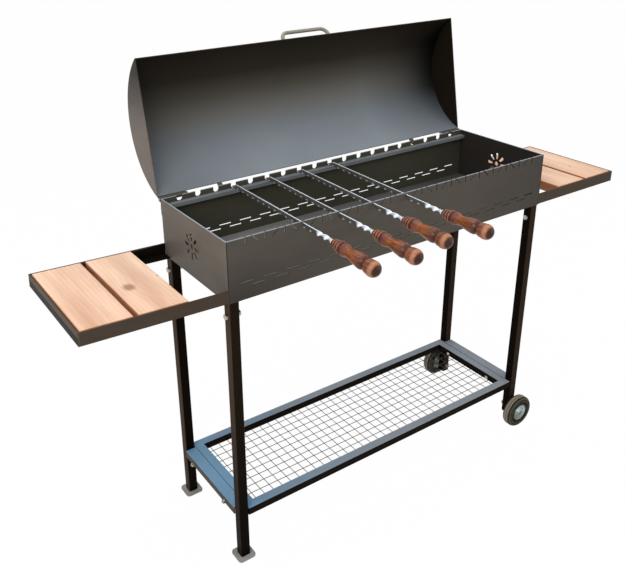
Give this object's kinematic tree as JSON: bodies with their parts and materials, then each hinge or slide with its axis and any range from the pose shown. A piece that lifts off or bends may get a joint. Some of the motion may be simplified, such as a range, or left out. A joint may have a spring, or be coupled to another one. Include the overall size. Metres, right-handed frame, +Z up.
{
  "type": "charcoal brazier grill",
  "caption": "Long charcoal brazier on legs with an open barrel lid, two side tables, a wire shelf, wheels on one side and skewers resting across the firebox.",
  "frame": {"origin": "on the ground, in the middle of the grill's outline seen from above, with the lid open", "axes": "+X along the firebox towards the wheels, -Y its front, where the skewers' handles are, +Z up"},
  "size_m": [1.6548, 0.7266, 1.2049],
  "materials": {
    "firebox_paint": "satin heat-resistant black, brownish where dusty",
    "lid_paint": "satin heat-resistant black",
    "frame_paint": "semi-gloss black",
    "table_paint": "semi-gloss black",
    "zinc_hardware": "bright zinc",
    "mesh_wire": "dull dark wire",
    "wheel_rubber": "dusty black",
    "wheel_hub": "zinc-plated pressed steel",
    "board_wood": "sanded and oiled",
    "skewer_steel": "ground steel",
    "grip_wood": "lacquered brown"
  },
  "bodies": {
    "grill": {"firebox_back": "firebox_paint", "firebox_end_left": "firebox_paint", "firebox_end_right": "firebox_paint", "firebox_floor": "firebox_paint", "firebox_front": "firebox_paint", "foot_back": "frame_paint", "foot_front": "frame_paint", "hinge_leaf_left": "lid_paint", "hinge_leaf_right": "lid_paint", "hinge_pins": "zinc_hardware", "ledge_rail": "firebox_paint", "leg_back_left": "frame_paint", "leg_back_right": "frame_paint", "leg_bolts": "zinc_hardware", "leg_front_left": "frame_paint", "leg_front_right": "frame_paint", "leg_nuts": "zinc_hardware", "leg_sockets": "frame_paint", "shelf_bolts": "zinc_hardware", "shelf_cross_bar_left": "frame_paint", "shelf_cross_bar_right": "frame_paint", "shelf_mesh": "mesh_wire", "shelf_nuts": "zinc_hardware", "shelf_rail_back": "frame_paint", "shelf_rail_front": "frame_paint", "shelf_rail_left": "frame_paint", "shelf_rail_right": "frame_paint", "table_left_arm_back": "table_paint", "table_left_arm_front": "table_paint", "table_left_board_inner": "board_wood", "table_left_board_outer": "board_wood", "table_left_outer_bar": "table_paint", "table_right_arm_back": "table_paint", "table_right_arm_front": "table_paint", "table_right_board_inner": "board_wood", "table_right_board_outer": "board_wood", "table_right_outer_bar": "table_paint", "wheel_back_axle": "zinc_hardware", "wheel_front_axle": "zinc_hardware"},
    "lid": {"lid_end_left": "lid_paint", "lid_end_right": "lid_paint", "lid_handle": "lid_paint", "lid_hinge_leaves": "lid_paint", "lid_shell": "lid_paint", "lid_stops": "lid_paint"},
    "wheel_front": {"wheel_front_tyre": "wheel_rubber", "wheel_front_hub": "wheel_hub"},
    "wheel_back": {"wheel_back_tyre": "wheel_rubber", "wheel_back_hub": "wheel_hub"},
    "skewer_1": {"skewer_1_blade": "skewer_steel", "skewer_1_grip": "grip_wood"},
    "skewer_2": {"skewer_2_blade": "skewer_steel", "skewer_2_grip": "grip_wood"},
    "skewer_3": {"skewer_3_blade": "skewer_steel", "skewer_3_grip": "grip_wood"},
    "skewer_4": {"skewer_4_blade": "skewer_steel", "skewer_4_grip": "grip_wood"}
  },
  "joints": [
    {"name": "lid_hinge", "type": "hinge", "parent": "grill", "child": "lid", "pos_m": [0, 0.22855, 0.868], "axis": [-1, 0, 0], "range_deg": [-100.5, 0]},
    {"name": "wheel_front_spin", "type": "hinge", "parent": "grill", "child": "wheel_front", "pos_m": [0.4835, -0.11315, 0.05], "axis": [0, 1, 0], "continuous": true},
    {"name": "wheel_back_spin", "type": "hinge", "parent": "grill", "child": "wheel_back", "pos_m": [0.4835, 0.24145, 0.05], "axis": [0, 1, 0], "continuous": true},
    {"name": "skewer_1_lift", "type": "slide", "parent": "grill", "child": "skewer_1", "axis": [0, 0, 1], "range_m": [0, 0.25]},
    {"name": "skewer_2_lift", "type": "slide", "parent": "grill", "child": "skewer_2", "axis": [0, 0, 1], "range_m": [0, 0.25]},
    {"name": "skewer_3_lift", "type": "slide", "parent": "grill", "child": "skewer_3", "axis": [0, 0, 1], "range_m": [0, 0.25]},
    {"name": "skewer_4_lift", "type": "slide", "parent": "grill", "child": "skewer_4", "axis": [0, 0, 1], "range_m": [0, 0.25]}
  ]
}
